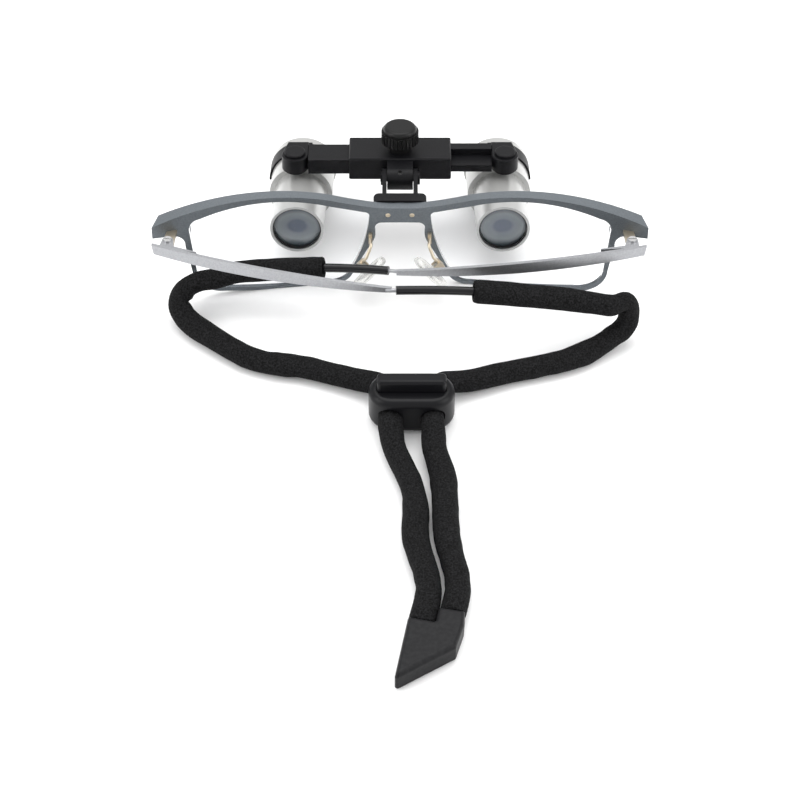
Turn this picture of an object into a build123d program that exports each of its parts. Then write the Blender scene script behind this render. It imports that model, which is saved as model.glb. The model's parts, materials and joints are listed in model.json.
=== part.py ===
from build123d import *
import os
from math import asin, atan2, cos, degrees, pi, radians, sin, sqrt, tan

# Flip-up binocular loupes on a metal spectacle frame, with a retainer strap.
# Millimetres. +Z is up, +Y is the way the wearer looks, +X is the wearer's right.
# The frame stands on its rims, the temples are folded, and the strap lies on the same surface.

os.makedirs("parts", exist_ok=True)

# ---- driving dimensions -------------------------------------------------------------------

# spectacle front: both faces are arcs about a vertical axis, so it wraps round the face
front_y = -9.79            # where the front stands, so that the origin is under the middle
back_radius = 265.6        # the face towards the wearer
brow_radius = 333.0        # the outer face of the brow bar, so its ends are thicker
back_offset = 3.1          # back face at the bridge, in front of front_y
brow_depth = 2.6           # thickness of the brow bar at the bridge
rim_depth = 1.15           # thickness of the thin lower rims
lens_depth = 1.5
half_width = 69.2
brow_level = 22.2          # the brow bar and bridge are above this, the thin rims below
lens_gap = 0.05            # between a lens and its rim

# temples: r runs along a temple from its hinge end, bow is how far it leans to the front
pin_x = 64.5
pin_y = front_y - 10.0
hinge_overhang = 3.7       # temple end past the hinge pin
hinge_drop = 3.3           # temple end behind the hinge pin
temple_thick = 0.95
temple_end_r = {"left": 67.5, "right": 69.2}
temple_bow = (0.0, -4.1, -1.5)          # at r = 0, 35 and the end of the bar
tip_radius = 1.25
core_radius = 0.55
sleeve_radius = 3.4
strap_radius = 3.2
fold_angle = {"left": 9.2, "right": 0.0}
bar_height = {"left": (26.5, 25.2, 22.1), "right": (26.5, 23.7, 19.6)}
tip_r = {"left": (67.8, 98.0, 128.0), "right": (67.8, 94.0, 120.0)}
tip_bow = {"left": (-1.8, 4.9, 10.2), "right": (-1.3, 4.2, 6.2)}
tip_height = {"left": (22.1, 19.6, 14.4), "right": (19.6, 16.3, 12.2)}
tip_share = {"left": (0.015, 0.82), "right": (0.07, 0.78)}         # plastic tip, along that arc
sleeve_share = {"left": (0.36, 0.94), "right": (0.42, 0.85)}       # strap sleeve, along that arc
core_share = 0.6

# hinge
knuckle_radius = 1.6
hinge_screw_radius = 0.6
hinge_level = 25.6
tongue_tall = 1.2
running_gap = 0.05

# nose pads
pad_long = 13.0
pad_wide = 7.6
pad_thick = 2.2
pad_stand_off = 1.3        # pad behind its screw
pad_tilt = 40.0            # the pad's long axis from upright
pad_centre = (8.7, front_y - 4.2, 10.3)

# loupe carrier: tilted down, so that the barrels look at the work
decline = 5.5
flip_y = 19.1              # flip pin, in the tilted frame
flip_z = 25.9
flip_radius = 3.4
flip_wide = 7.4
ear_thick = 1.2
ear_gap = 0.15
flip_pin_radius = 1.0

# interpupillary slide
housing_half = 14.75
housing_y = (22.6, 34.5)
housing_z = (23.0, 30.1)
arm_y = (24.0, 32.5)
arm_z = (24.2, 29.2)
ledge_z = (24.9, 27.1)     # the right arm outside the housing
slide_gap = 0.1
strip_level = 26.2         # underside of the toothed strip, top of the other arm's ledge
module = 0.5
pinion_teeth = 8
pressure_angle = 30.0
addendum = 0.35
dedendum = 0.45
backlash = 0.10
pinion_y = 28.0
shaft_radius = 1.0
knob_radius = 5.4
knob_z = (33.0, 36.3)
knob_dome = 1.6

# barrels
barrel_x = 29.7
barrel_z = 14.3
toe_in = 2.0
eyepiece_radius = 7.7
objective_radius = 9.2
bezel_radius = 9.6
eyepiece_y = (10.0, 28.4)
objective_y = (28.4, 41.3)
bezel_y = (41.3, 43.9)
saddle_y = (35.6, 41.1)
saddle_thick = 0.6
pivot_x = 30.4
pivot_y = 27.5
pivot_radius = 1.1
block_z = (24.25, 28.8)
tongue_z = (23.55, 24.15)   # the flat tongue of the saddle, between barrel and block
block_radius = 3.85

# strap, toggle and end tab, with Y measured from the spectacle front
toggle_centre = (3.15, -52.4)
toggle_size = (23.4, 13.2, 11.4)
hole_spacing = 11.5
strap_level = 5.8
strap_lead = 3.2           # straight run of strap where it leaves its sleeve
button_size = (18.8, 4.3, 15.0)
button_travel = 1.5
strap_route = {
    "left": [
        (63.4, -20.2, 14.6),
        (64.0, -20.4, 7.0),
        (60.2, -23.5, 3.6),
        (54.4, -28.5, 3.2),
        (46.8, -32.9, 3.2),
        (38.0, -35.8, 3.2),
        (27.6, -38.4, 3.2),
        (19.2, -41.7, 3.5),
        (12.6, -43.3, 4.6),
        (8.95, -47.5, 5.8),
        (8.9, -54.7, 5.8),
        (8.9, -61.3, 5.3),
        (9.0, -67.9, 3.4),
        (11.2, -76.5, 3.2),
        (11.9, -85.5, 3.2),
        (11.7, -94.9, 3.2),
        (12.6, -104.1, 3.2),
        (14.5, -112.7, 3.2),
        (14.7, -119.3, 3.2),
        (13.2, -125.9, 3.2),
    ],
    "right": [
        (-51.0, -8.3, 12.0),
        (-60.2, -8.5, 9.9),
        (-63.6, -11.7, 5.6),
        (-59.6, -17.4, 3.3),
        (-52.6, -23.6, 3.2),
        (-45.0, -30.3, 3.2),
        (-36.8, -34.5, 3.2),
        (-27.4, -35.2, 3.2),
        (-18.6, -38.7, 3.2),
        (-10.8, -41.7, 3.7),
        (-5.4, -44.1, 4.8),
        (-2.65, -48.1, 5.8),
        (-2.6, -54.7, 5.8),
        (-2.6, -60.9, 5.3),
        (-1.9, -67.1, 3.4),
        (0.9, -74.9, 3.2),
        (3.6, -82.5, 3.2),
        (4.2, -91.1, 3.2),
        (3.7, -99.5, 3.2),
        (5.3, -106.9, 3.2),
        (7.2, -114.1, 3.2),
        (7.4, -121.1, 3.2),
        (5.4, -129.1, 3.2),
    ],
}
tab_outline = [
    (2.0, -128.5),
    (8.8, -130.2),
    (9.7, -125.45),
    (16.3, -126.8),
    (15.9, -131.2),
    (13.8, -138.5),
    (-1.5, -148.6),
]
tab_thick = 5.6

hole_radius = strap_radius + 0.1
strap_clearance = []
sides = {"left": -1, "right": 1}

# ---- planes -------------------------------------------------------------------------------

loupe = Plane(
    origin=(0, front_y, 0),
    x_dir=(1, 0, 0),
    z_dir=(0, sin(radians(decline)), cos(radians(decline))),
)


def loupe_level(z, x=0.0, y=0.0):
    """A level plane of the tilted carrier, at height z, with its origin at x, y."""
    return Plane(origin=loupe.from_local_coords((x, y, z)), x_dir=loupe.x_dir, z_dir=loupe.z_dir)


def loupe_upright(y, x=0.0, z=0.0):
    """A plane across the carrier whose normal looks back at the wearer."""
    return Plane(
        origin=loupe.from_local_coords((x, y, z)),
        x_dir=loupe.x_dir,
        z_dir=-loupe.y_dir,
    )


def loupe_side(x, y=0.0, z=0.0):
    """A plane whose normal is +X, with its own x forward and its own y up."""
    return Plane(origin=loupe.from_local_coords((x, y, z)), x_dir=loupe.y_dir, z_dir=(1, 0, 0))


def box_between(low, high):
    """The middle and the sizes of a box from its two corners."""
    middle = [(a + b) / 2 for a, b in zip(low, high)]
    sizes = [b - a for a, b in zip(low, high)]
    return middle, sizes


def save(solid, name):
    """Label a finished piece and write its STEP."""
    solid.label = name
    export_step(solid, "parts/" + name + ".step")


# ---- spectacle front ----------------------------------------------------------------------


def arc_y(offset, radius, x):
    """Y of an arc about a vertical axis that passes offset in front of front_y at x = 0."""
    return front_y + offset - (radius - sqrt(radius**2 - x**2))


def wrap_band(offset, radius, depth, outer_radius):
    """The plan of a wrapped plate: back face, front face and two ends."""
    with BuildSketch() as plan:
        with BuildLine():
            back = ThreePointArc(
                (-half_width, arc_y(offset, radius, half_width)),
                (0, front_y + offset),
                (half_width, arc_y(offset, radius, half_width)),
            )
            inset = half_width - 1.6
            front = ThreePointArc(
                (-inset, arc_y(offset + depth, outer_radius, inset)),
                (0, front_y + offset + depth),
                (inset, arc_y(offset + depth, outer_radius, inset)),
            )
            Line(back @ 0, front @ 0)
            Line(back @ 1, front @ 1)
        make_face()
    return plan.sketch


def lens_outline(plane):
    """The outline of the lens opening on the wearer's right, seen from behind."""
    with BuildSketch(plane) as outline:
        with BuildLine():
            ThreePointArc((8.6, 25.4), (10.3, 15.3), (15.0, 3.9))
            ThreePointArc((15.0, 3.9), (17.0, 2.0), (20.5, 1.3))
            ThreePointArc((20.5, 1.3), (35.0, 1.05), (49.5, 2.5))
            ThreePointArc((49.5, 2.5), (55.4, 5.0), (57.8, 10.8))
            Line((57.8, 10.8), (59.1, 25.0))
            ThreePointArc((59.1, 25.0), (58.4, 27.5), (56.0, 28.8))
            ThreePointArc((56.0, 28.8), (36.5, 32.0), (19.6, 29.0))
            Line((19.6, 29.0), (10.2, 26.6))
            ThreePointArc((10.2, 26.6), (9.1, 26.2), (8.6, 25.4))
        make_face()
    return outline.sketch


def front_outline(plane):
    """The outer outline of the right half of the front, seen from behind."""
    with BuildSketch(plane) as outline:
        with BuildLine():
            Line((0, 22.7), (0, 27.8))
            ThreePointArc((0, 27.8), (4.0, 27.8), (8.0, 28.3))
            ThreePointArc((8.0, 28.3), (14.0, 29.6), (20.0, 31.3))
            ThreePointArc((20.0, 31.3), (38.0, 33.6), (56.0, 32.0))
            ThreePointArc((56.0, 32.0), (63.5, 30.2), (half_width, 28.3))
            Line((half_width, 28.3), (half_width, 24.4))
            Line((half_width, 24.4), (64.2, 24.1))
            ThreePointArc((64.2, 24.1), (61.4, 23.0), (60.4, 20.0))
            Line((60.4, 20.0), (59.0, 10.4))
            ThreePointArc((59.0, 10.4), (56.4, 4.1), (50.0, 1.2))
            ThreePointArc((50.0, 1.2), (44.6, 0.4), (38.5, 0.0))
            Line((38.5, 0.0), (30.5, 0.0))
            ThreePointArc((30.5, 0.0), (25.5, 0.07), (20.2, 0.3))
            ThreePointArc((20.2, 0.3), (16.0, 1.2), (13.7, 3.8))
            ThreePointArc((13.7, 3.8), (10.4, 10.8), (8.2, 15.0))
            ThreePointArc((8.2, 15.0), (7.2, 17.2), (7.1, 20.4))
            ThreePointArc((7.1, 20.4), (6.6, 22.1), (5.2, 22.7))
            Line((5.2, 22.7), (0, 22.7))
        make_face()
    return outline.sketch


behind_front = Plane(origin=(0, front_y - 20, 0), x_dir=(1, 0, 0), z_dir=(0, -1, 0))

with BuildPart() as brow:
    extrude(front_outline(behind_front), amount=-40)
    extrude(lens_outline(behind_front), amount=-40, mode=Mode.SUBTRACT)
    mirror(about=Plane.YZ)
    extrude(wrap_band(back_offset, back_radius, brow_depth, brow_radius), amount=40, mode=Mode.INTERSECT)
    split(bisect_by=Plane.XY.offset(brow_level), keep=Keep.TOP)

with BuildPart() as rims:
    extrude(front_outline(behind_front), amount=-40)
    extrude(lens_outline(behind_front), amount=-40, mode=Mode.SUBTRACT)
    mirror(about=Plane.YZ)
    extrude(wrap_band(back_offset, back_radius, rim_depth, back_radius), amount=40, mode=Mode.INTERSECT)
    split(bisect_by=Plane.XY.offset(brow_level), keep=Keep.BOTTOM)


def hinge_plane(side):
    """Upright plane on the back of an end piece, facing the wearer, at the hinge."""
    x = 63.6
    turn = asin(x / back_radius)
    return Plane(
        origin=(side * x, arc_y(back_offset, back_radius, x), hinge_level),
        x_dir=(cos(turn), -side * sin(turn), 0),
        z_dir=(-side * sin(turn), -cos(turn), 0),
    )


plate_wide = 5.6
plate_tall = 2.5
plate_thick = 0.7
screw_spots = [(-3.4, 25.3), (3.4, 25.3)]
bridge_screw_radius = 0.7
bridge_head_radius = 1.0
bridge_head_thick = 0.5

with BuildPart() as front_frame:
    add(brow.part)
    add(rims.part)
    for side in sides.values():
        with BuildSketch(hinge_plane(side)):
            Rectangle(plate_wide + 2 * running_gap, plate_tall + 2 * running_gap)
        extrude(amount=-plate_thick, mode=Mode.SUBTRACT)
    with BuildSketch(behind_front):
        with Locations(*screw_spots):
            Circle(bridge_screw_radius + 0.02)
    extrude(amount=-40, mode=Mode.SUBTRACT)
    with BuildSketch(Plane(origin=(0, front_y + back_offset, 0), x_dir=(1, 0, 0), z_dir=(0, -1, 0))):
        with Locations(*screw_spots):
            Circle(bridge_head_radius + 0.02)
    extrude(amount=-(bridge_head_thick + 0.02), mode=Mode.SUBTRACT)
save(front_frame.part, "front_frame")

with BuildPart() as lens_right:
    with BuildSketch(behind_front):
        offset(lens_outline(behind_front), amount=-lens_gap, mode=Mode.ADD)
    extrude(amount=-40)
    extrude(wrap_band(back_offset + 0.1, back_radius, lens_depth, back_radius), amount=40, mode=Mode.INTERSECT)
with BuildPart() as lens_left:
    add(mirror(lens_right.part, about=Plane.YZ))
save(lens_right.part, "lens_right")
save(lens_left.part, "lens_left")

# ---- temple hinges ------------------------------------------------------------------------


def temple_plane(side, name, height=0.0):
    """Level plane at the hinge pin, with its x along the folded temple."""
    turn = radians(fold_angle[name])
    return Plane(
        origin=(side * pin_x, pin_y, height),
        x_dir=(-side * cos(turn), -sin(turn), 0),
        z_dir=(0, 0, 1),
    )


def temple_spot(side, r, bow):
    """Plan coordinates of a temple point in its temple_plane."""
    return (r - hinge_overhang, -side * (bow - hinge_drop))


def temple_upright(side, name):
    """Upright plane through the hinge pin along the temple, with its own y up."""
    level = temple_plane(side, name)
    return Plane(origin=level.origin, x_dir=level.x_dir, z_dir=level.x_dir.cross(Vector(0, 0, 1)))


def circle_at(plane, radius):
    """A disc about a plane's origin."""
    with BuildSketch(plane) as disc:
        Circle(radius)
    return disc.sketch


half_tongue = tongue_tall / 2
fork_thick = 0.95
screw_head_radius = 1.15
screw_head_thick = 0.6
fork_top = hinge_level + half_tongue + running_gap + fork_thick
fork_bottom = hinge_level - half_tongue - running_gap - fork_thick

for name, side in sides.items():
    with BuildPart() as hinge_plate:
        with BuildSketch(hinge_plane(side)):
            Rectangle(plate_wide, plate_tall)
        extrude(amount=-plate_thick + running_gap)
        with BuildSketch(Plane.XY.offset(hinge_level - half_tongue)):
            with BuildLine():
                Polyline(
                    (side * (pin_x - knuckle_radius), pin_y),
                    (side * (pin_x + knuckle_radius), pin_y),
                    (side * (pin_x + 0.6), arc_y(back_offset, back_radius, pin_x + 0.6) + 0.3),
                    (side * (pin_x - 2.2), arc_y(back_offset, back_radius, pin_x - 2.2) + 0.3),
                    close=True,
                )
            make_face()
            with Locations((side * pin_x, pin_y)):
                Circle(knuckle_radius)
        extrude(amount=tongue_tall)
        with BuildSketch(Plane(origin=(side * pin_x, pin_y, 0))):
            Circle(hinge_screw_radius + running_gap)
        extrude(amount=40, mode=Mode.SUBTRACT)
    save(hinge_plate.part, "hinge_plate_" + name)

    with BuildPart() as temple_hinge:
        with BuildSketch(temple_plane(side, name, fork_bottom)):
            Circle(knuckle_radius)
            with BuildLine():
                Polyline(
                    (-knuckle_radius, 0),
                    (knuckle_radius, 0),
                    (knuckle_radius + 0.6, side * 2.2),
                    (9.0, side * 3.55),
                    (9.0, side * 3.95),
                    (-knuckle_radius - 0.2, side * 3.05),
                    close=True,
                )
            make_face()
        extrude(amount=fork_top - fork_bottom)
        with BuildSketch(temple_plane(side, name, hinge_level - half_tongue - running_gap)):
            with Locations((0, -side * 0.4)):
                Rectangle(8, 2 * (knuckle_radius + 0.8))
        extrude(amount=tongue_tall + 2 * running_gap, mode=Mode.SUBTRACT)
        with BuildSketch(temple_plane(side, name)):
            Circle(hinge_screw_radius + 0.02)
        extrude(amount=40, mode=Mode.SUBTRACT)

    with BuildPart() as hinge_screw:
        with BuildSketch(temple_plane(side, name, fork_bottom)):
            Circle(hinge_screw_radius)
        extrude(amount=fork_top - fork_bottom)
        with BuildSketch(temple_plane(side, name, fork_top)):
            Circle(screw_head_radius)
        extrude(amount=screw_head_thick)
        with BuildSketch(temple_plane(side, name, fork_top + screw_head_thick)):
            Rectangle(2.4, 0.3)
        extrude(amount=-0.3, mode=Mode.SUBTRACT)
    save(hinge_screw.part, "hinge_screw_" + name)

    # the bar: its plan is a bowed strip, cut to its height by its side view
    end_r = temple_end_r[name]
    inner = temple_thick / 2
    with BuildPart() as temple:
        with BuildSketch(temple_plane(side, name)):
            with BuildLine():
                near = ThreePointArc(
                    temple_spot(side, 0, temple_bow[0] - inner),
                    temple_spot(side, 35, temple_bow[1] - inner),
                    temple_spot(side, end_r, temple_bow[2] - inner),
                )
                far = ThreePointArc(
                    temple_spot(side, 0, temple_bow[0] + inner),
                    temple_spot(side, 35, temple_bow[1] + inner),
                    temple_spot(side, end_r, temple_bow[2] + inner),
                )
                Line(near @ 0, far @ 0)
                Line(near @ 1, far @ 1)
            make_face()
        extrude(amount=60)
        start, middle, end = bar_height[name]
        with BuildSketch(temple_upright(side, name)):
            with BuildLine():
                top = ThreePointArc(
                    (-hinge_overhang, start + 1.55),
                    (32.0, middle + 1.65),
                    (end_r - hinge_overhang, end + 0.72),
                )
                bottom = ThreePointArc(
                    (-hinge_overhang + 0.5, start - 1.55),
                    (32.0, middle - 1.8),
                    (end_r - hinge_overhang, end - 0.72),
                )
                Line(top @ 0, bottom @ 0)
                Line(top @ 1, bottom @ 1)
            make_face()
        extrude(amount=60, both=True, mode=Mode.INTERSECT)

    # the tip's centre line is one arc in space
    level = temple_plane(side, name)
    tip_points = []
    for r, bow, height in zip(tip_r[name], tip_bow[name], tip_height[name]):
        x, y = temple_spot(side, r, bow)
        tip_points.append(level.from_local_coords((x, y, height)))
    tip_arc = ThreePointArc(*tip_points)
    core_path = tip_arc.trim(0, core_share)
    tip_start, tip_end = tip_share[name]
    sleeve_start, sleeve_end = sleeve_share[name]
    tip_path = tip_arc.trim(tip_start, tip_end)
    sleeve_path = tip_arc.trim(sleeve_start, sleeve_end)
    bore_path = tip_arc.trim(sleeve_start, tip_end + 0.005)

    def tube_along(path, radius):
        """A round rod along one arc."""
        plane = Plane(origin=path @ 0, z_dir=path % 0)
        with BuildPart() as rod:
            sweep(circle_at(plane, radius), path=path)
        return rod.part

    core = tube_along(core_path, core_radius)
    with BuildPart() as temple_with_core:
        add(temple.part)
        add(core)
        with BuildSketch(Plane(origin=core_path @ 0, z_dir=-(core_path % 0))):
            Circle(core_radius)
        extrude(amount=2.0)
    bar = temple_with_core.part
    with BuildPart() as hinge_cut:
        add(temple_hinge.part)
        add(bar, mode=Mode.SUBTRACT)
    save(hinge_cut.part, "temple_hinge_" + name)
    save(bar, "temple_" + name)

    with BuildPart() as temple_tip:
        add(tube_along(tip_path, tip_radius))
        add(tube_along(tip_arc.trim(tip_start, core_share + 0.01), core_radius + 0.02), mode=Mode.SUBTRACT)
    save(temple_tip.part, "temple_tip_" + name)

    with BuildPart() as sleeve:
        add(tube_along(sleeve_path, sleeve_radius))
        add(tube_along(bore_path, tip_radius + 0.05), mode=Mode.SUBTRACT)
    save(sleeve.part, "strap_sleeve_" + name)

    # free strap: straight runs joined by tangent arcs
    begin = sleeve_path @ 1
    points = [begin, begin + (sleeve_path % 1) * strap_lead]
    points += [Vector(x, front_y + y, z) for x, y, z in strap_route[name]]
    runs = [(b - a).length for a, b in zip(points, points[1:])]
    turns = [
        (b - a).get_angle(c - b) for a, b, c in zip(points, points[1:], points[2:])
    ]
    radii = [
        0.45 * min(before, after) / tan(radians(turn) / 2)
        for before, after, turn in zip(runs, runs[1:], turns)
    ]
    print("strap", name, "runs", [round(r, 1) for r in runs])
    print("strap", name, "radii", [round(r, 1) for r in radii])
    route = FilletPolyline(*points, radius=radii)
    print("strap", name, "length", round(route.length, 1))
    with BuildPart() as strap:
        sweep(circle_at(Plane(origin=route @ 0, z_dir=route % 0), strap_radius), path=route)
    expected = pi * strap_radius**2 * route.length
    print("strap", name, "volume share", round(strap.part.volume / expected, 4))
    save(strap.part, "strap_" + name)
    with BuildPart() as clearance:
        sweep(circle_at(Plane(origin=route @ 0, z_dir=route % 0), hole_radius), path=route)
    strap_clearance.append(clearance.part)

# ---- nose pads ----------------------------------------------------------------------------


def pad_plane(side):
    """The pad's plane: x runs down and outward along the pad, z points at the nose."""
    lean = radians(pad_tilt)
    back = radians(18)
    down = Vector(side * sin(lean), 0, -cos(lean))
    nose = Vector(-side * cos(lean) * cos(back), -sin(back), -sin(lean) * cos(back))
    x, y, z = pad_centre
    seat = Vector(side * x, y, z) - nose * (pad_stand_off + pad_thick / 2)
    return Plane(origin=seat, x_dir=down, z_dir=nose)


pad_screw_radius = 0.45
boss_size = (1.9, 1.5)
boss_back = 0.75           # boss behind its screw
cheek_thick = 0.5
cheek_gap = 0.12

for name, side in sides.items():
    seat = pad_plane(side)
    across = Plane(origin=seat.origin, x_dir=seat.x_dir, z_dir=seat.y_dir)

    with BuildPart() as nose_pad:
        with BuildSketch(seat.offset(pad_stand_off)):
            Ellipse(pad_long / 2, pad_wide / 2)
        extrude(amount=pad_thick)
        fillet(nose_pad.edges(), 0.95)
        with BuildSketch(seat.offset(-boss_back)):
            Rectangle(boss_size[0], boss_size[1])
        extrude(amount=boss_back + pad_stand_off + 0.6)
        with BuildSketch(across):
            Circle(pad_screw_radius + running_gap)
        extrude(amount=3, both=True, mode=Mode.SUBTRACT)
    save(nose_pad.part, "nose_pad_" + name)

    cheek_y = boss_size[1] / 2 + cheek_gap + cheek_thick / 2
    with BuildPart() as nose_arm:
        with BuildSketch(seat.offset(-1.35)):
            Rectangle(2.4, 2 * cheek_y + cheek_thick)
        extrude(amount=-0.5)
        with BuildSketch(seat.offset(-1.4)):
            with Locations((0, cheek_y), (0, -cheek_y)):
                Rectangle(2.4, cheek_thick)
        extrude(amount=2.2)
        with BuildSketch(across):
            Circle(pad_screw_radius + 0.02)
        extrude(amount=3, both=True, mode=Mode.SUBTRACT)
        with BuildLine() as wire:
            FilletPolyline(
                (side * 8.4, front_y + 2.3, 17.6),
                (side * 8.2, front_y - 0.4, 17.0),
                (side * 9.6, front_y - 2.4, 14.0),
                seat.from_local_coords((-0.3, 0, -1.6)),
                radius=1.2,
            )
        wire_path = wire.wires()[0]
        with BuildSketch(Plane(origin=wire_path @ 0, z_dir=wire_path % 0)):
            Circle(0.45)
        sweep(path=wire_path)
        with BuildSketch(
            Plane(origin=(side * 8.4, front_y + 2.93, 17.4), x_dir=(1, 0, 0), z_dir=(0, -1, 0))
        ):
            Rectangle(1.0, 3.4)
        extrude(amount=0.9)
    save(nose_arm.part, "nose_arm_" + name)

    reach = cheek_y + cheek_thick / 2
    with BuildPart() as pad_screw:
        with BuildSketch(across.offset(-reach)):
            Circle(pad_screw_radius)
        extrude(amount=2 * reach)
        with BuildSketch(across.offset(-reach)):
            Circle(0.8)
        extrude(amount=-0.45)
    save(pad_screw.part, "pad_screw_" + name)

# ---- flip hinge and its bracket -----------------------------------------------------------

flip_centre = loupe.from_local_coords((0, flip_y, flip_z))
ear_x = flip_wide / 2 + ear_gap
ear_radius = 2.7
plate_front = front_y + back_offset + brow_depth + 0.05
bracket_thick = 3.4
bracket_x = 7.5
bracket_z = (20.6, 28.4)

with BuildPart() as mount_bracket:
    middle, sizes = box_between(
        (-bracket_x, plate_front, bracket_z[0]),
        (bracket_x, plate_front + bracket_thick, bracket_z[1]),
    )
    with BuildSketch(Plane(origin=(0, plate_front, middle[2]), x_dir=(1, 0, 0), z_dir=(0, -1, 0))):
        RectangleRounded(sizes[0], sizes[2], 1.6)
    extrude(amount=-bracket_thick)
    for x in (ear_x, -ear_x - ear_thick):
        with BuildSketch(Plane(origin=(x, 0, 0), x_dir=(0, 1, 0), z_dir=(1, 0, 0))):
            with BuildLine():
                Polyline(
                    (plate_front + 1.0, 21.6),
                    (plate_front + 1.0, 27.6),
                    (flip_centre.Y, flip_centre.Z + ear_radius),
                    (flip_centre.Y, flip_centre.Z - ear_radius),
                    close=True,
                )
            make_face()
            with Locations((flip_centre.Y, flip_centre.Z)):
                Circle(ear_radius)
        extrude(amount=ear_thick)
    with BuildSketch(Plane(origin=flip_centre, x_dir=(0, 1, 0), z_dir=(1, 0, 0))):
        Circle(flip_pin_radius + 0.02)
    extrude(amount=20, both=True, mode=Mode.SUBTRACT)
    with BuildSketch(behind_front):
        with Locations(*screw_spots):
            Circle(bridge_screw_radius + 0.02)
    extrude(amount=-40, mode=Mode.SUBTRACT)
save(mount_bracket.part, "mount_bracket")

with BuildPart() as mount_screws:
    screw_seat = Plane(
        origin=(0, front_y + back_offset + 0.08, 0),
        x_dir=(1, 0, 0),
        z_dir=(0, -1, 0),
    )
    with BuildSketch(screw_seat):
        with Locations(*screw_spots):
            Circle(bridge_head_radius)
    extrude(amount=-bridge_head_thick + 0.1)
    with BuildSketch(screw_seat):
        with Locations(*screw_spots):
            Circle(bridge_screw_radius)
    extrude(amount=-(brow_depth + bracket_thick - 0.3))
    with BuildSketch(screw_seat):
        with Locations(*screw_spots):
            Rectangle(1.3, 0.25)
            Rectangle(0.25, 1.3)
    extrude(amount=-0.25, mode=Mode.SUBTRACT)
save(mount_screws.part, "mount_screws")

with BuildPart() as flip_knuckle:
    with BuildSketch(loupe_side(-flip_wide / 2, flip_y, flip_z)):
        Circle(flip_radius)
        with BuildLine():
            Polyline(
                (0, -2.4),
                (0, flip_radius),
                (housing_y[0] - flip_y, flip_radius + 0.2),
                (housing_y[0] - flip_y, -2.6),
                close=True,
            )
        make_face()
    extrude(amount=flip_wide)
    with BuildSketch(loupe_side(0, flip_y, flip_z)):
        Circle(flip_pin_radius + running_gap)
    extrude(amount=20, both=True, mode=Mode.SUBTRACT)
    with BuildSketch(loupe_level(flip_z + 1.4, 0, flip_y - 1.6)):
        Circle(0.62)
    extrude(amount=6, mode=Mode.SUBTRACT)
save(flip_knuckle.part, "flip_knuckle")

with BuildPart() as detent_screw:
    with BuildSketch(loupe_level(flip_z + 1.5, 0, flip_y - 1.6)):
        Circle(0.6)
    extrude(amount=1.1)
save(detent_screw.part, "detent_screw")

pin_reach = ear_x + ear_thick
with BuildPart() as flip_pin:
    with BuildSketch(loupe_side(-pin_reach - 0.6, flip_y, flip_z)):
        Circle(flip_pin_radius)
    extrude(amount=2 * pin_reach + 0.6)
    with BuildSketch(loupe_side(pin_reach, flip_y, flip_z)):
        Circle(1.9)
    extrude(amount=0.7)
    fillet(flip_pin.edges().filter_by(GeomType.CIRCLE).sort_by(Axis.X)[-1], 0.25)
    with BuildSketch(loupe_side(pin_reach + 0.7, flip_y, flip_z)):
        Rectangle(4, 0.45)
    extrude(amount=-0.3, mode=Mode.SUBTRACT)
save(flip_pin.part, "flip_pin")

with BuildPart() as flip_nut:
    with BuildSketch(loupe_side(-pin_reach, flip_y, flip_z)):
        RegularPolygon(2.0, 6)
        Circle(flip_pin_radius + 0.02, mode=Mode.SUBTRACT)
    extrude(amount=-0.5)
save(flip_nut.part, "flip_nut")

# ---- interpupillary slide -----------------------------------------------------------------

bush_radius = 2.7
with BuildPart() as bar_housing:
    middle, sizes = box_between(
        (-housing_half, housing_y[0], housing_z[0]),
        (housing_half, housing_y[1], housing_z[1]),
    )
    with BuildSketch(loupe_level(housing_z[0], middle[0], middle[1])):
        Rectangle(sizes[0], sizes[1])
    extrude(amount=sizes[2])
    chamfer(bar_housing.edges(), 0.35)
    middle, sizes = box_between(
        (0, arm_y[0] - slide_gap, arm_z[0] - slide_gap),
        (0, arm_y[1] + slide_gap, arm_z[1] + slide_gap),
    )
    with BuildSketch(loupe_side(0, middle[1], middle[2])):
        Rectangle(sizes[1], sizes[2])
    extrude(amount=20, both=True, mode=Mode.SUBTRACT)
    with BuildSketch(loupe_level(housing_z[0] + 0.5, 0, pinion_y)):
        Circle(shaft_radius + running_gap)
    extrude(amount=4, mode=Mode.SUBTRACT)
    with BuildSketch(loupe_level(arm_z[1], 0, pinion_y)):
        Circle(bush_radius)
    extrude(amount=4, mode=Mode.SUBTRACT)
save(bar_housing.part, "bar_housing")

with BuildPart() as pinion_bush:
    with BuildSketch(loupe_level(arm_z[1] + slide_gap, 0, pinion_y)):
        Circle(bush_radius)
        Circle(shaft_radius + running_gap, mode=Mode.SUBTRACT)
    extrude(amount=housing_z[1] - arm_z[1] - slide_gap)
save(pinion_bush.part, "pinion_bush")

# involute pinion: flank points come from the unwinding of the base circle
pitch_radius = module * pinion_teeth / 2
base_radius = pitch_radius * cos(radians(pressure_angle))
tip_circle = pitch_radius + addendum
root_circle = pitch_radius - dedendum
tooth_pitch = pi * module
half_tooth = (tooth_pitch / 2 - backlash) / 2 / pitch_radius
involute = tan(radians(pressure_angle)) - radians(pressure_angle)


def flank(radius):
    """Half the angle of a tooth at a radius."""
    if radius <= base_radius:
        return half_tooth + involute
    roll = sqrt((radius / base_radius) ** 2 - 1)
    return half_tooth + involute - (roll - atan2(roll, 1))


flank_radii = [root_circle - 0.2, base_radius, pitch_radius, (pitch_radius + tip_circle) / 2, tip_circle]
tooth_side = [(radius, flank(radius)) for radius in flank_radii]
tooth = [(r * cos(-a), r * sin(-a)) for r, a in tooth_side]
tooth += [(r * cos(a), r * sin(a)) for r, a in reversed(tooth_side)]
gear_z = (strip_level + 0.15, arm_z[1] - 0.15)

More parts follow.
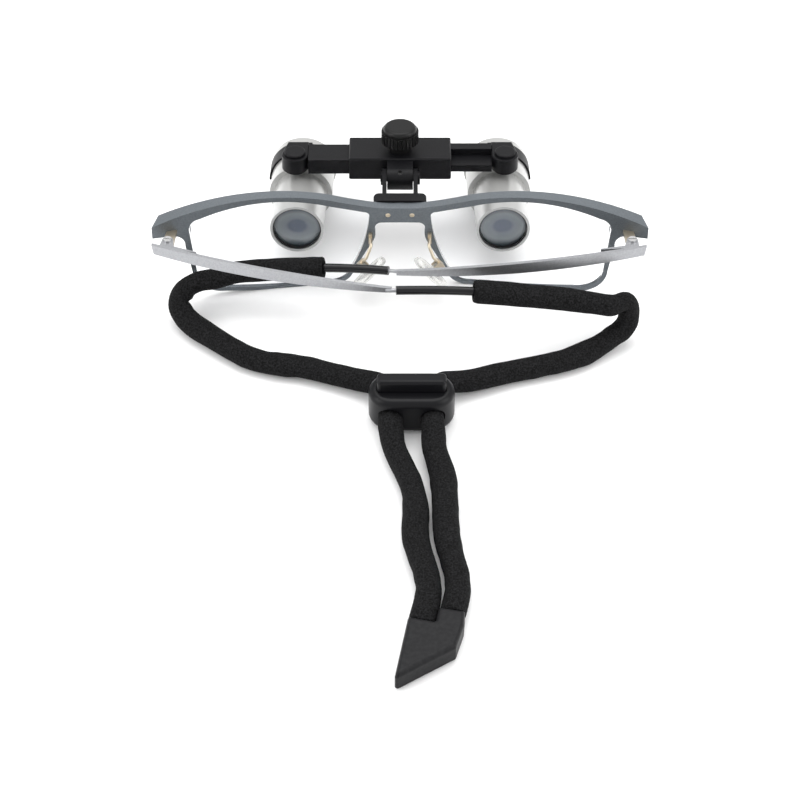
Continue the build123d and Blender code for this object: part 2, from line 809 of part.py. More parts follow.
# a tooth space faces each rack's tooth: the pinion stands turned by this much
pinion_turn = 180.0 / pinion_teeth

with BuildPart() as pinion_shaft:
    with BuildSketch(loupe_level(gear_z[0], 0, pinion_y)):
        Circle(root_circle)
        with PolarLocations(0, pinion_teeth, start_angle=pinion_turn):
            Polygon(*tooth, align=None)
    extrude(amount=gear_z[1] - gear_z[0])
    with BuildSketch(loupe_level(housing_z[0] + 0.6, 0, pinion_y)):
        Circle(shaft_radius)
    extrude(amount=knob_z[1] - 0.6 - housing_z[0])
save(pinion_shaft.part, "pinion_shaft")

rib_count = 30
with BuildPart() as knob:
    with BuildSketch(loupe_level(housing_z[1] + 0.15, 0, pinion_y)):
        Circle(3.3)
    extrude(amount=knob_z[0] - housing_z[1] - 0.15)
    with BuildSketch(loupe_level(knob_z[0], 0, pinion_y)):
        Circle(knob_radius)
        with PolarLocations(knob_radius, rib_count):
            Circle(0.3, mode=Mode.SUBTRACT)
    extrude(amount=knob_z[1] - knob_z[0])
    with BuildSketch(loupe_level(knob_z[1], 0, pinion_y)):
        Circle(knob_radius - 0.6)
    extrude(amount=knob_dome)
    fillet(knob.edges().filter_by(GeomType.CIRCLE).sort_by(Axis.Z)[-1], 1.2)
    with BuildSketch(loupe_level(housing_z[1], 0, pinion_y)):
        Circle(shaft_radius)
    extrude(amount=knob_z[1] - housing_z[1], mode=Mode.SUBTRACT)
save(knob.part, "knob")

strip_pitch = {"left": pinion_y - pitch_radius, "right": pinion_y + pitch_radius}
strip_reach = 6.5
rack_teeth = 13
rack_half = (tooth_pitch / 2 - backlash) / 2
slope = tan(radians(pressure_angle))


def rack_tooth(x, pitch_line, towards):
    """One rack tooth at x, pointing along Y towards +1 or -1."""
    tip = pitch_line + towards * addendum
    root = pitch_line - towards * dedendum
    wide = rack_half + dedendum * slope
    narrow = rack_half - addendum * slope
    return [(x - wide, root), (x - narrow, tip), (x + narrow, tip), (x + wide, root)]


block_end = pivot_x - block_radius
inner_end = 13.4           # the arms are fitted to the housing up to here
wall_y = 29.4
for name, side in sides.items():
    near = side < 0
    with BuildPart() as rack_arm:
        if near:
            # a solid bar outside the housing, a toothed strip on the wearer's side inside it
            with BuildSketch(loupe_level(arm_z[0])):
                with BuildLine():
                    Polyline(
                        (-block_end, arm_y[0]),
                        (-7.0, arm_y[0]),
                        (-7.0, 29.5),
                        (-inner_end, 29.5),
                        (-inner_end, arm_y[1]),
                        (-block_end, arm_y[1]),
                        close=True,
                    )
                make_face()
            extrude(amount=arm_z[1] - arm_z[0])
            with BuildSketch(loupe_level(strip_level)):
                with BuildLine():
                    root = strip_pitch[name] - dedendum
                    Polyline(
                        (-7.0, arm_y[0]),
                        (strip_reach, arm_y[0]),
                        (strip_reach, root),
                        (-7.0, root),
                        close=True,
                    )
                make_face()
                for number in range(rack_teeth):
                    spot = tooth_pitch * (number - rack_teeth // 2)
                    if -6.6 < spot < strip_reach - 0.6:
                        with BuildLine():
                            Polyline(*rack_tooth(spot, strip_pitch[name], 1), close=True)
                        make_face()
            extrude(amount=arm_z[1] - strip_level)
            with BuildSketch(loupe_level(block_z[1])):
                with Locations((-(inner_end + block_end) / 2, pivot_y)):
                    Rectangle(block_end - inner_end, 30)
            extrude(amount=2, mode=Mode.SUBTRACT)
        else:
            # an angle: a low ledge on the wearer's side and a full wall on the far side
            with BuildSketch(loupe_level(arm_z[0])):
                with BuildLine():
                    Polyline(
                        (6.0, arm_y[0]),
                        (block_end, arm_y[0]),
                        (block_end, arm_y[1]),
                        (6.0, arm_y[1]),
                        close=True,
                    )
                make_face()
            extrude(amount=strip_level - 0.2 - arm_z[0])
            with BuildSketch(loupe_level(arm_z[0])):
                with BuildLine():
                    root = strip_pitch[name] + dedendum
                    Polyline(
                        (-strip_reach, root),
                        (inner_end, root),
                        (inner_end, wall_y),
                        (block_end, wall_y),
                        (block_end, arm_y[1]),
                        (-strip_reach, arm_y[1]),
                        close=True,
                    )
                make_face()
            extrude(amount=arm_z[1] - arm_z[0])
            with BuildSketch(loupe_level(strip_level)):
                for number in range(rack_teeth):
                    spot = tooth_pitch * (number - rack_teeth // 2)
                    if -strip_reach + 0.6 < spot < strip_reach:
                        with BuildLine():
                            Polyline(*rack_tooth(spot, strip_pitch[name], -1), close=True)
                        make_face()
            extrude(amount=arm_z[1] - strip_level)
            with BuildSketch(loupe_level(ledge_z[0])):
                with BuildLine():
                    Polyline(
                        (inner_end, arm_y[0]),
                        (block_end, arm_y[0]),
                        (block_end, wall_y + 0.5),
                        (inner_end, wall_y + 0.5),
                        close=True,
                    )
                make_face()
            extrude(amount=ledge_z[1] - ledge_z[0])
            with BuildSketch(loupe_level(ledge_z[0])):
                with Locations(((inner_end + block_end) / 2, pivot_y)):
                    Rectangle(block_end - inner_end, 30)
            extrude(amount=-2, mode=Mode.SUBTRACT)
    save(rack_arm.part, "rack_arm_" + name)

    # end block that carries the barrel's pivot
    with BuildPart() as pivot_block:
        with BuildSketch(loupe_level(block_z[0])):
            with Locations((side * pivot_x, pivot_y)):
                Circle(block_radius)
            with BuildLine():
                Polyline(
                    (side * (pivot_x - block_radius), pivot_y),
                    (side * (pivot_x + block_radius), pivot_y),
                    (side * (pivot_x + 2.2), 34.0),
                    (side * (pivot_x - block_radius), 34.0),
                    close=True,
                )
            make_face()
        extrude(amount=block_z[1] - block_z[0])
        chamfer(pivot_block.faces().sort_by(Axis.Z)[-1].edges(), 0.25)
        with BuildSketch(loupe_level(block_z[0] - 1, side * pivot_x, pivot_y)):
            Circle(pivot_radius + running_gap)
        extrude(amount=10, mode=Mode.SUBTRACT)
    save(pivot_block.part, "pivot_block_" + name)

    with BuildPart() as pivot_pin:
        with BuildSketch(loupe_level(tongue_z[0], side * pivot_x, pivot_y)):
            Circle(pivot_radius)
        extrude(amount=block_z[1] + 0.05 - tongue_z[0])
        with BuildSketch(loupe_level(block_z[1] + 0.05, side * pivot_x, pivot_y)):
            Circle(3.0)
        extrude(amount=0.9)
        fillet(pivot_pin.edges().filter_by(GeomType.CIRCLE).sort_by(Axis.Z)[-1], 0.35)
    save(pivot_pin.part, "pivot_pin_" + name)

    # ---- barrel: turned shells and lenses about one axis, toed in towards the nose --------
    turn = radians(toe_in)
    middle_y = 27.5
    axis_dir = (loupe.y_dir * cos(turn) - loupe.x_dir * side * sin(turn)).normalized()
    middle_point = loupe.from_local_coords((side * (barrel_x - 0.6), middle_y, barrel_z))

    def barrel_plane(y):
        """A plane across the barrel at carrier distance y, facing the wearer."""
        origin = middle_point + axis_dir * (y - middle_y)
        return Plane(origin=origin, x_dir=axis_dir.cross(loupe.z_dir), z_dir=-axis_dir)

    def ring(part_name, spans):
        """A turned piece: spans of (y from, y to, outer radius, inner radius)."""
        with BuildPart() as turned:
            for y0, y1, outer, inner in spans:
                with BuildSketch(barrel_plane(y0)):
                    Circle(outer)
                    if inner:
                        Circle(inner, mode=Mode.SUBTRACT)
                extrude(amount=-(y1 - y0))
        save(turned.part, part_name + "_" + name)

    wall = 0.7
    with BuildPart() as eyepiece_tube:
        with BuildSketch(barrel_plane(eyepiece_y[0])):
            Circle(eyepiece_radius)
        extrude(amount=-(eyepiece_y[1] - eyepiece_y[0]))
        with BuildSketch(barrel_plane(eyepiece_y[0])):
            Circle(eyepiece_radius - wall)
        extrude(amount=-(eyepiece_y[1] - eyepiece_y[0]), mode=Mode.SUBTRACT)
    save(eyepiece_tube.part, "eyepiece_tube_" + name)
    ring("eyepiece_ring", [(10.3, 11.3, eyepiece_radius - wall - 0.02, 6.6)])
    ring("lens_spacer", [(13.5, 28.3, eyepiece_radius - wall - 0.02, 6.4)])
    ring(
        "objective_tube",
        [
            (objective_y[0], objective_y[0] + 1.2, objective_radius, 6.8),
            (objective_y[0] + 1.2, objective_y[1], objective_radius, objective_radius - wall),
        ],
    )
    ring("front_bezel", [(bezel_y[0], bezel_y[1], bezel_radius, objective_radius - wall)])

    # lenses: the eye lens is hollowed on both faces, the objective bulges on both
    lens_r = eyepiece_radius - wall - 0.03
    with BuildPart() as eye_lens:
        with BuildSketch(barrel_plane(11.4)):
            Circle(lens_r)
        extrude(amount=-2.0)
        for y, reach in ((11.4, -1), (13.4, 1)):
            ball = barrel_plane(y).from_local_coords((0, 0, -reach * 29.4))
            with Locations(ball):
                Sphere(30.0, mode=Mode.SUBTRACT)
    save(eye_lens.part, "eyepiece_lens_" + name)
    lens_r = objective_radius - wall - 0.03
    with BuildPart() as front_lens:
        with BuildSketch(barrel_plane(36.0)):
            Circle(lens_r)
        extrude(amount=-8.0)
        for y, reach in ((38.0, 1), (43.2, -1)):
            ball = barrel_plane(y).from_local_coords((0, 0, -reach * 26.0))
            with Locations(ball):
                Sphere(26.0, mode=Mode.INTERSECT)
    save(front_lens.part, "objective_lens_" + name)

    # saddle band over the barrel, with a tongue back to the pivot
    with BuildPart() as saddle:
        with BuildSketch(barrel_plane(saddle_y[0])):
            Circle(objective_radius + 0.02 + saddle_thick)
            Circle(objective_radius + 0.02, mode=Mode.SUBTRACT)
            with Locations((0, -12.0)):
                Rectangle(60, 24, mode=Mode.SUBTRACT)
            with Locations(Location((side * -13.0, 6.0, 0), (0, 0, side * -28))):
                Rectangle(16, 30, mode=Mode.SUBTRACT)
        extrude(amount=-(saddle_y[1] - saddle_y[0]))
        with BuildSketch(loupe_level(tongue_z[0])):
            with Locations((side * pivot_x, pivot_y)):
                Circle(3.2)
            with BuildLine():
                Polyline(
                    (side * (pivot_x - 3.2), pivot_y),
                    (side * (pivot_x + 3.2), pivot_y),
                    (side * (pivot_x + 1.2), saddle_y[1] - 0.3),
                    (side * (pivot_x - 4.6), saddle_y[1] - 0.3),
                    close=True,
                )
            make_face()
        extrude(amount=tongue_z[1] - tongue_z[0])
        with BuildSketch(barrel_plane(eyepiece_y[0])):
            Circle(objective_radius + 0.02)
        extrude(amount=-(bezel_y[0] - 10), mode=Mode.SUBTRACT)
        with BuildSketch(loupe_level(tongue_z[0] - 1, side * pivot_x, pivot_y)):
            Circle(pivot_radius + 0.02)
        extrude(amount=4, mode=Mode.SUBTRACT)
    save(saddle.part, "saddle_" + name)

# ---- toggle and end tab -------------------------------------------------------------------

toggle_x, toggle_y = toggle_centre[0], front_y + toggle_centre[1]
toggle_long, toggle_deep, toggle_tall = toggle_size
button_long, button_deep, button_top = button_size
hole_spots = [toggle_x - hole_spacing / 2, toggle_x + hole_spacing / 2]
cavity_gap = 0.15
cavity_floor = 0.9
well_floor = 1.0
web_bottom = 5.0


def toggle_front(x, z):
    """A plane across the toggle at its middle, facing the wearer."""
    return Plane(origin=(x, toggle_y, z), x_dir=(1, 0, 0), z_dir=(0, -1, 0))


with BuildPart() as toggle_body:
    with BuildSketch(Plane(origin=(toggle_x, toggle_y, 0))):
        SlotOverall(toggle_long, toggle_deep)
    extrude(amount=toggle_tall)
    fillet(toggle_body.edges().group_by(Axis.Z)[-1], 2.0)
    fillet(toggle_body.edges().group_by(Axis.Z)[0], 2.6)
    with BuildSketch(Plane(origin=(toggle_x, toggle_y, cavity_floor))):
        RectangleRounded(button_long + 2 * cavity_gap, button_deep + 2 * cavity_gap, 1.2)
    extrude(amount=toggle_tall, mode=Mode.SUBTRACT)
    for x in hole_spots:
        with BuildSketch(toggle_front(x, strap_level)):
            Circle(hole_radius)
        extrude(amount=20, both=True, mode=Mode.SUBTRACT)
    for passage in strap_clearance:
        add(passage, mode=Mode.SUBTRACT)
save(toggle_body.part, "toggle_body")

with BuildPart() as toggle_button:
    with BuildSketch(Plane(origin=(toggle_x, toggle_y, web_bottom))):
        RectangleRounded(button_long, button_deep, 1.1)
    extrude(amount=button_top - web_bottom)
    fillet(toggle_button.edges().group_by(Axis.Z)[-1], 1.0)
    for x in hole_spots:
        with BuildSketch(toggle_front(x, strap_level + button_travel + 0.05)):
            Circle(hole_radius + 0.1)
            with Locations((0, -6)):
                Rectangle(2 * (hole_radius + 0.1), 12)
        extrude(amount=20, both=True, mode=Mode.SUBTRACT)
    # what the two openings leave outside them is too thin to mould
    with BuildSketch(Plane(origin=(toggle_x, toggle_y, 0))):
        with Locations((button_long / 2, 0), (-button_long / 2, 0)):
            Rectangle(2.2, 20)
    extrude(amount=toggle_tall - 2.4, mode=Mode.SUBTRACT)
save(toggle_button.part, "toggle_button")

spring_wire = 0.25
spring_coil = 1.3
spring_turns = 3.5
spring_low = cavity_floor + spring_wire + 0.02
spring_high = web_bottom - spring_wire - 0.02
with BuildPart() as toggle_spring:
    with BuildLine() as coil:
        Helix(
            pitch=(spring_high - spring_low) / spring_turns,
            height=spring_high - spring_low,
            radius=spring_coil,
            center=(toggle_x, toggle_y, spring_low),
        )
    coil_path = coil.wires()[0]
    with BuildSketch(Plane(origin=coil_path @ 0, z_dir=coil_path % 0)):
        Circle(spring_wire)
    sweep(path=coil_path, is_frenet=True)
save(toggle_spring.part, "toggle_spring")

with BuildPart() as strap_end_tab:
    with BuildSketch(Plane.XY.offset(0.2)):
        with BuildLine():
            Polyline(*[(x, front_y + y) for x, y in tab_outline], close=True)
        make_face()
    extrude(amount=tab_thick)
    fillet(strap_end_tab.edges().filter_by(Axis.Z), 0.6)
    fillet(strap_end_tab.edges().group_by(Axis.Z)[-1], 1.2)
    fillet(strap_end_tab.edges().group_by(Axis.Z)[0], 0.8)
save(strap_end_tab.part, "strap_end_tab")
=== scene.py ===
import math

import bpy
import numpy as np
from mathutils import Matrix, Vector
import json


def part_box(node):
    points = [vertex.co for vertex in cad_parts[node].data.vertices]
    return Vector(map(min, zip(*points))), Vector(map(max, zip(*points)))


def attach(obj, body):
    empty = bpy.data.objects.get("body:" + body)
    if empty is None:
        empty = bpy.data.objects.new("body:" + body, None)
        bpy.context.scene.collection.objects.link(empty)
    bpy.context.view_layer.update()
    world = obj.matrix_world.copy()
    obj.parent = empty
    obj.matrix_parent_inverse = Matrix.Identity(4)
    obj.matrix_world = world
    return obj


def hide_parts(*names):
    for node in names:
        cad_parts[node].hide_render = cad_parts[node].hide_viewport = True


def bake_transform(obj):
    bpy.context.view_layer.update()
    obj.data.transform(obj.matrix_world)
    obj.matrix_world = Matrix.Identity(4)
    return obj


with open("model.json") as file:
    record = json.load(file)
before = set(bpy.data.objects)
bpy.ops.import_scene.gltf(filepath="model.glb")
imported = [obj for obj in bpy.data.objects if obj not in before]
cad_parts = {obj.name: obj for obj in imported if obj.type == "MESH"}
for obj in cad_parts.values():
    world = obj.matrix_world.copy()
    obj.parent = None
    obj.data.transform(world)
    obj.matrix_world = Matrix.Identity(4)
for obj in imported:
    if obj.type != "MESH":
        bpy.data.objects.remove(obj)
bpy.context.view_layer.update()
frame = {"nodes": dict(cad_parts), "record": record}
nodes = frame["nodes"]

# ---- camera and light: a studio table seen from above, behind the wearer's side ---------------

FRONT_Y = -0.00979          # where the spectacle front stands
ELEVATION = math.radians(44)
TARGET = Vector((0.0, -0.04563 + FRONT_Y, 0.0))
DISTANCE = 0.66717
LENS = 109.3

forward = Vector((0, math.cos(ELEVATION), -math.sin(ELEVATION)))
camera_data = bpy.data.cameras.new("camera")
camera_data.lens = LENS
camera_data.sensor_width = 36
camera_data.clip_start = 0.01
camera = bpy.data.objects.new("camera", camera_data)
camera.location = TARGET - DISTANCE * forward
camera.rotation_euler = (math.pi / 2 - ELEVATION, 0, 0)
bpy.context.scene.collection.objects.link(camera)
bpy.context.scene.camera = camera


def area_light(name, where, aim, size, power):
    """A rectangular softbox at a point, aimed at another."""
    data = bpy.data.lights.new(name, "AREA")
    data.shape = "RECTANGLE"
    data.size, data.size_y = size
    data.energy = power
    lamp = bpy.data.objects.new(name, data)
    lamp.location = where
    lamp.rotation_euler = (Vector(aim) - Vector(where)).to_track_quat("-Z", "Y").to_euler()
    bpy.context.scene.collection.objects.link(lamp)


area_light("top_soft", (0.0, 0.25, 0.95), (0, -0.03, 0), (1.1, 0.7), 7.0)
area_light("left_soft", (-0.75, -0.25, 0.45), (0, -0.03, 0), (0.5, 0.7), 3.2)
area_light("right_soft", (0.75, -0.25, 0.45), (0, -0.03, 0), (0.5, 0.7), 3.2)

world = bpy.data.worlds.new("studio")
bpy.context.scene.world = world
world.use_nodes = True
background = world.node_tree.nodes["Background"]
background.inputs["Color"].default_value = (1.0, 1.0, 1.0, 1.0)
background.inputs["Strength"].default_value = 0.95
bpy.context.scene.view_settings.view_transform = "Standard"

# ---- materials --------------------------------------------------------------------------------


def material(name, color, roughness=0.4, metallic=0.0, **sockets):
    """A principled material with fixed socket values."""
    made = bpy.data.materials.new(name)
    made.use_nodes = True
    shader = made.node_tree.nodes["Principled BSDF"]
    shader.inputs["Base Color"].default_value = (*color, 1.0)
    shader.inputs["Roughness"].default_value = roughness
    shader.inputs["Metallic"].default_value = metallic
    for key, value in sockets.items():
        shader.inputs[key.replace("_", " ")].default_value = value
    return made


def add_node(made, kind, **inputs):
    """A node with some of its inputs set."""
    node = made.node_tree.nodes.new(kind)
    for key, value in inputs.items():
        node.inputs[key].default_value = value
    return node


def link(made, source, target):
    made.node_tree.links.new(source, target)


def grain(made, scale, depth, low, high):
    """Fine mottling of colour and surface, from noise in the object's own space."""
    tree = made.node_tree
    shader = tree.nodes["Principled BSDF"]
    coordinates = tree.nodes.new("ShaderNodeTexCoord")
    noise = add_node(made, "ShaderNodeTexNoise", Scale=scale, Detail=4.0)
    link(made, coordinates.outputs["Object"], noise.inputs["Vector"])
    bump = add_node(made, "ShaderNodeBump", Strength=depth, Distance=0.0002)
    link(made, noise.outputs["Fac"], bump.inputs["Height"])
    link(made, bump.outputs["Normal"], shader.inputs["Normal"])
    ramp = tree.nodes.new("ShaderNodeValToRGB")
    ramp.color_ramp.elements[0].position = 0.38
    ramp.color_ramp.elements[0].color = (*low, 1.0)
    ramp.color_ramp.elements[1].position = 0.68
    ramp.color_ramp.elements[1].color = (*high, 1.0)
    link(made, noise.outputs["Fac"], ramp.inputs["Fac"])
    link(made, ramp.outputs["Color"], shader.inputs["Base Color"])
    return made


front_grey = grain(material("front_grey", (0.13, 0.14, 0.155), 0.4, 0.6), 2600, 0.08,
                   (0.115, 0.13, 0.142), (0.145, 0.16, 0.175))
temple_silver = grain(material("temple_silver", (0.36, 0.365, 0.38), 0.3, 0.85), 2200, 0.05,
                      (0.32, 0.325, 0.34), (0.38, 0.385, 0.40))
hinge_brass = material("hinge_brass", (0.62, 0.54, 0.42), 0.3, 0.9)
steel_screw = material("steel_screw", (0.6, 0.6, 0.6), 0.25, 1.0)
carrier_black = grain(material("carrier_black", (0.006, 0.006, 0.007), 0.42, 0.0,
                               Specular_IOR_Level=0.14), 3000, 0.1,
                      (0.004, 0.004, 0.005), (0.008, 0.008, 0.009))
knob_black = material("knob_black", (0.006, 0.006, 0.006), 0.35, Specular_IOR_Level=0.2)
barrel_pearl = material("barrel_pearl", (0.45, 0.45, 0.44), 0.28, 0.45,
                        Coat_Weight=0.3, Coat_Roughness=0.15)
inner_black = material("inner_black", (0.01, 0.01, 0.01), 0.4)
lens_clear = material("lens_clear", (0.985, 0.99, 1.0), 0.0, 0.0, Transmission_Weight=1.0, IOR=1.04)
pad_silicone = material("pad_silicone", (0.93, 0.93, 0.91), 0.22, 0.0, Transmission_Weight=0.8, IOR=1.2)
tip_black = material("tip_black", (0.005, 0.005, 0.006), 0.2, Specular_IOR_Level=0.3)
toggle_plastic = material("toggle_plastic", (0.005, 0.005, 0.006), 0.32, Specular_IOR_Level=0.16)
spring_steel = material("spring_steel", (0.6, 0.6, 0.62), 0.3, 1.0)
tab_black = grain(material("tab_black", (0.007, 0.007, 0.008), 0.45, 0.0,
                           Specular_IOR_Level=0.18), 900, 0.15,
                  (0.005, 0.005, 0.006), (0.010, 0.010, 0.011))
strap_knit = grain(material("strap_knit", (0.006, 0.006, 0.006), 0.85, 0.0,
                            Specular_IOR_Level=0.1), 2300, 0.9,
                   (0.002, 0.002, 0.002), (0.016, 0.016, 0.017))


REFLECTION_BAND_RADIUS = 0.0085        # that the lens's bands of painted reflection and painted shade are spread over
REFLECTION_BAND_HEIGHT = 0.8           # of the painted bands' ovals, as a share of their width


def painted_reflection_optic(name, centre):
    """Coated glass with painted light: a darker oval in the middle, a lighter belt of painted
    reflection, a dark edge of painted shade.
    """
    made = material(name, (0.1, 0.12, 0.14), 0.06, 0.0, Coat_Weight=1.0, Coat_Roughness=0.03)
    tree = made.node_tree
    coordinates = tree.nodes.new("ShaderNodeTexCoord")
    shift = tree.nodes.new("ShaderNodeMapping")
    shift.vector_type = "TEXTURE"
    shift.inputs["Location"].default_value = centre
    shift.inputs["Scale"].default_value = (1.0, 1.0, REFLECTION_BAND_HEIGHT)
    link(made, coordinates.outputs["Object"], shift.inputs["Vector"])
    distance = tree.nodes.new("ShaderNodeVectorMath")
    distance.operation = "LENGTH"
    link(made, shift.outputs["Vector"], distance.inputs[0])
    scale = tree.nodes.new("ShaderNodeMath")
    scale.operation = "MULTIPLY"
    scale.inputs[1].default_value = 1 / REFLECTION_BAND_RADIUS
    link(made, distance.outputs["Value"], scale.inputs[0])
    ramp = tree.nodes.new("ShaderNodeValToRGB")
    stops = ramp.color_ramp.elements
    # colour stops of the painted reflection and painted shade, from the lens middle out to its rim
    stops[0].position, stops[0].color = 0.0, (0.055, 0.075, 0.12, 1)
    stops[1].position, stops[1].color = 1.0, (0.035, 0.045, 0.05, 1)
    for position, color in ((0.28, (0.06, 0.08, 0.12, 1)), (0.40, (0.13, 0.155, 0.18, 1)),
                            (0.66, (0.16, 0.185, 0.20, 1)), (0.85, (0.07, 0.085, 0.095, 1))):
        stop = stops.new(position)
        stop.color = color
    link(made, scale.outputs["Value"], ramp.inputs["Fac"])
    link(made, ramp.outputs["Color"], tree.nodes["Principled BSDF"].inputs["Base Color"])
    return made


finishes = {
    "front_grey": front_grey, "temple_silver": temple_silver, "hinge_brass": hinge_brass,
    "steel_screw": steel_screw, "carrier_black": carrier_black, "knob_black": knob_black,
    "barrel_pearl": barrel_pearl, "inner_black": inner_black, "lens_clear": lens_clear,
    "pad_silicone": pad_silicone, "tip_black": tip_black, "toggle_plastic": toggle_plastic,
    "spring_steel": spring_steel, "tab_black": tab_black, "strap_knit": strap_knit,
}
for part in frame["record"]["subparts"]:
    name = part["node"]
    finish = finishes.get(part["material_slot"])
    if part["material_slot"] == "optic_glass":
        low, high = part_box(name)
        centre = [(a + b) / 2 for a, b in zip(low, high)]
        finish = painted_reflection_optic("optic_" + name, centre)
    mesh = nodes[name].data
    mesh.materials.clear()
    mesh.materials.append(finish)

# ---- strap: on each side a sleeve on the temple tip, and a free strap to the end tab ----------

MM = 0.001
MOUTH_RADIUS = 1.35         # inside of a sleeve's mouth, mm
SLEEVES = {"left": 0.0359, "right": 0.0230}            # how far each sleeve reaches, m
SEEDS = {"left": 5, "right": 11}
AROUND = 44                 # points round the tube
RING_STEP = 0.0007          # between rings, m
HALF_WIDE = 3.35            # of the strap as it lies, mm
HALF_TALL = 2.95
SLEEVE_TALL = 3.2           # the sleeve is rounder than the free strap, mm
TOGGLE_Y = FRONT_Y - 0.0524
LOBES = 6                   # round the tube, each with its own creases
FLOOR_GAP = 0.00005         # of the strap over the floor, m
routes = {
    "left": [
        (20.2, -23.9, 20.6), (38.0, -23.2, 18.3), (55.7, -23.0, 15.2), (58.8, -23.1, 14.5),
        (63.4, -20.2, 14.6), (64.0, -20.4, 7.0), (60.2, -23.5, 3.6), (54.4, -28.5, 3.2),
        (46.8, -32.9, 3.2), (38.0, -35.8, 3.2), (27.6, -38.4, 3.2), (19.2, -41.7, 3.5),
        (12.6, -43.3, 4.6), (8.95, -47.5, 5.8), (8.9, -54.7, 5.8), (8.9, -61.3, 5.3),
        (9.0, -67.9, 3.4), (11.2, -76.5, 3.2), (11.9, -85.5, 3.2), (11.7, -94.9, 3.2),
        (12.6, -104.1, 3.2), (14.5, -112.7, 3.2), (14.7, -119.3, 3.2), (13.2, -125.9, 3.2),
    ],
    "right": [
        (-21.3, -9.8, 16.9), (-32.6, -8.3, 15.3), (-43.9, -7.4, 13.5), (-47.1, -7.2, 13.0),
        (-51.0, -8.3, 12.0), (-60.2, -8.5, 9.9), (-63.6, -11.7, 5.6), (-59.6, -17.4, 3.3),
        (-52.6, -23.6, 3.2), (-45.0, -30.3, 3.2), (-36.8, -34.5, 3.2), (-27.4, -35.2, 3.2),
        (-18.6, -38.7, 3.2), (-10.8, -41.7, 3.7), (-5.4, -44.1, 4.8), (-2.65, -48.1, 5.8),
        (-2.6, -54.7, 5.8), (-2.6, -60.9, 5.3), (-1.9, -67.1, 3.4), (0.9, -74.9, 3.2),
        (3.6, -82.5, 3.2), (4.2, -91.1, 3.2), (3.7, -99.5, 3.2), (5.3, -106.9, 3.2),
        (7.2, -114.1, 3.2), (7.4, -121.1, 3.2), (5.4, -129.1, 3.2),
    ],
}


def spline_points(name, points):
    """The smooth line through a route, in metres, as many points close together."""
    curve = bpy.data.curves.new(name, "CURVE")
    curve.dimensions = "3D"
    spline = curve.splines.new("NURBS")
    spline.points.add(len(points) - 1)
    for point, (x, y, z) in zip(spline.points, points):
        point.co = (x * MM, y * MM + FRONT_Y, z * MM, 1)
    spline.order_u = 3
    spline.use_endpoint_u = True
    curve.resolution_u = 24
    helper = bpy.data.objects.new(name, curve)
    bpy.context.scene.collection.objects.link(helper)
    bpy.context.view_layer.update()
    depsgraph = bpy.context.evaluated_depsgraph_get()
    mesh = bpy.data.meshes.new_from_object(helper.evaluated_get(depsgraph))
    line = np.array([v.co[:] for v in mesh.vertices])
    bpy.data.meshes.remove(mesh)
    bpy.data.objects.remove(helper)
    bpy.data.curves.remove(curve)
    return line


def evenly(line, step):
    """The same line with points one step apart."""
    along = np.concatenate([[0], np.cumsum(np.linalg.norm(np.diff(line, axis=0), axis=1))])
    count = int(round(along[-1] / step)) + 1
    wanted = np.linspace(0, along[-1], count)
    return np.stack([np.interp(wanted, along, line[:, k]) for k in range(3)], axis=1), wanted


def smooth_noise(generator, positions, spacing):
    """Random values in -1..1 that change smoothly over a spacing."""
    count = int(positions[-1] / spacing) + 4
    values = generator.uniform(-1, 1, count)
    where = positions / spacing
    base = where.astype(int)
    share = where - base
    share = share * share * (3 - 2 * share)
    return values[base] * (1 - share) + values[base + 1] * share


def ring_mesh(name, rings):
    """A closed tube through rings of points, smooth, in the knit."""
    around = len(rings[0])
    total = len(rings)
    vertices = np.concatenate(rings)
    vertices[:, 2] = np.maximum(vertices[:, 2], FLOOR_GAP)
    faces = []
    for k in range(total - 1):
        for j in range(around):
            a = k * around + j
            b = k * around + (j + 1) % around
            faces.append((a, a + around, b + around, b))
    faces.append(tuple(range(around)))
    faces.append(tuple((total - 1) * around + j for j in range(around))[::-1])
    mesh = bpy.data.meshes.new(name)
    mesh.from_pydata(vertices.tolist(), [], faces)
    for polygon in mesh.polygons:
        polygon.use_smooth = True
    mesh.materials.append(strap_knit)
    tube = bpy.data.objects.new(name, mesh)
    bpy.context.scene.collection.objects.link(tube)
    return tube


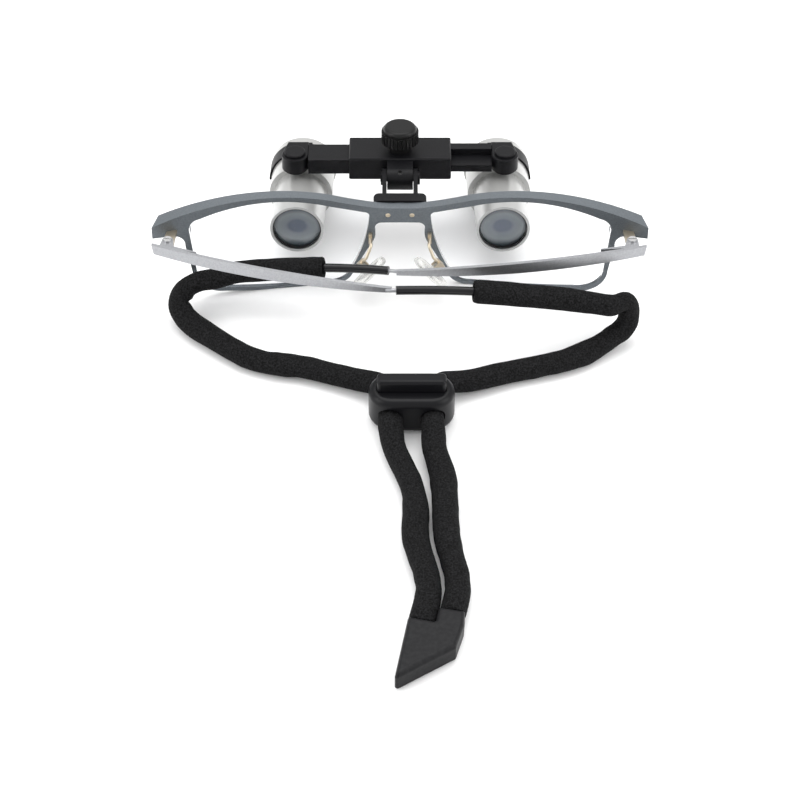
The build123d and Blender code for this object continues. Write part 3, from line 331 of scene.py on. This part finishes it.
def knit_tube(side, seed):
    """A soft tube along its route: a little flat where it lies, creased where it bends."""
    generator = np.random.default_rng(seed)
    line = spline_points("line_" + side, routes[side])
    path, along = evenly(line, RING_STEP)
    count = len(path)
    tangent = np.gradient(path, axis=0)
    tangent /= np.linalg.norm(tangent, axis=1)[:, None]
    turn = np.linalg.norm(np.gradient(tangent, along, axis=0), axis=1)
    turn = np.convolve(turn, np.ones(9) / 9, mode="same")
    up = np.zeros_like(path)
    previous = np.array([0.0, 0.0, 1.0])
    for k in range(count):
        previous = previous - tangent[k] * (previous @ tangent[k])
        previous /= np.linalg.norm(previous)
        wanted = np.array([0.0, 0.0, 1.0]) - tangent[k] * tangent[k][2]
        if np.linalg.norm(wanted) > 0.3:
            previous = previous * 0.9 + wanted / np.linalg.norm(wanted) * 0.1
            previous /= np.linalg.norm(previous)
        up[k] = previous
    side_way = np.cross(tangent, up)
    wide = HALF_WIDE + 0.22 * smooth_noise(generator, along, 0.011)
    tall = HALF_TALL + 0.16 * smooth_noise(generator, along, 0.013)
    in_sleeve = 1 / (1 + np.exp((along - SLEEVES[side]) / 0.002))
    tall = tall * (1 - in_sleeve) + SLEEVE_TALL * in_sleeve
    # the last few millimetres are pressed into the end tab
    pressed = np.clip((along - along[-1] + 0.004) / 0.004, 0, 1)
    tall = tall * (1 - 0.2 * pressed)
    # the toggle squeezes the strap
    squeezed = np.exp(-((path[:, 1] - TOGGLE_Y) / 0.0075) ** 2) * (along > 0.06)
    wide = wide * (1 - 0.10 * squeezed)
    tall = tall * (1 - 0.10 * squeezed)
    angle = np.linspace(0, 2 * math.pi, AROUND, endpoint=False)
    rings = []
    creases = [smooth_noise(generator, along, 0.0032) for _ in range(LOBES)]
    folds = [smooth_noise(generator, along, 0.0085) for _ in range(LOBES)]
    for k in range(count):
        crumple = 0.05 + min(0.26, 0.0016 * turn[k])
        bump = np.zeros(AROUND)
        for j in range(LOBES):
            phase = j * math.pi / 3
            lobe = np.maximum(0, np.cos(angle - phase)) ** 2
            bump += lobe * (0.55 * creases[j][k] * crumple * 2.4 + 0.10 * folds[j][k])
        reach = 1 + bump * 0.34
        x = np.cos(angle) * wide[k] * reach
        z = np.sin(angle) * tall[k] * reach
        ring = path[k] + MM * (x[:, None] * side_way[k] + z[:, None] * up[k])
        rings.append(ring)
    # mouth of the sleeve: the edge is turned in round the temple tip
    mouth = []
    first, t0 = path[0], tangent[0]
    for inset, radius in ((5.0, MOUTH_RADIUS), (2.0, MOUTH_RADIUS + 0.1), (0.9, MOUTH_RADIUS + 0.5),
                          (0.25, 2.15), (0.0, 2.6), (0.12, 2.95), (0.5, 3.15)):
        across = np.cos(angle)[:, None] * side_way[0] + np.sin(angle)[:, None] * up[0]
        mouth.append(first + MM * (t0 * inset) + MM * radius * across)
    skip = 2
    rings = mouth + rings[skip:]
    # the far end closes inside the end tab
    for share in (0.75, 0.35):
        centre = path[-1] + tangent[-1] * MM * (1 - share)
        rings.append(centre + (rings[-1] - path[-1]) * share)
    cut = len(mouth) + int(np.searchsorted(along, SLEEVES[side])) - skip
    sleeve = ring_mesh("knit_sleeve_" + side, rings[:cut + 1])
    strap = ring_mesh("knit_strap_" + side, rings[cut:])
    free = path[cut - len(mouth) + skip:]
    return sleeve, strap, free


for side in ("left", "right"):
    sleeve, strap, free = knit_tube(side, SEEDS[side])
    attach(sleeve, "temple_" + side)
    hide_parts("strap_sleeve_" + side)
    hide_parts("strap_" + side)
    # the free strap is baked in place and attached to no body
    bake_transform(strap)

# ---- floor ------------------------------------------------------------------------------------

floor_mesh = bpy.data.meshes.new("floor")
floor_mesh.from_pydata([(-3, -3, 0), (3, -3, 0), (3, 3, 0), (-3, 3, 0)], [], [(0, 1, 2, 3)])
floor_mesh.materials.append(material("floor_white", (0.93, 0.93, 0.93), 0.8))
floor = bpy.data.objects.new("floor", floor_mesh)
bpy.context.scene.collection.objects.link(floor)
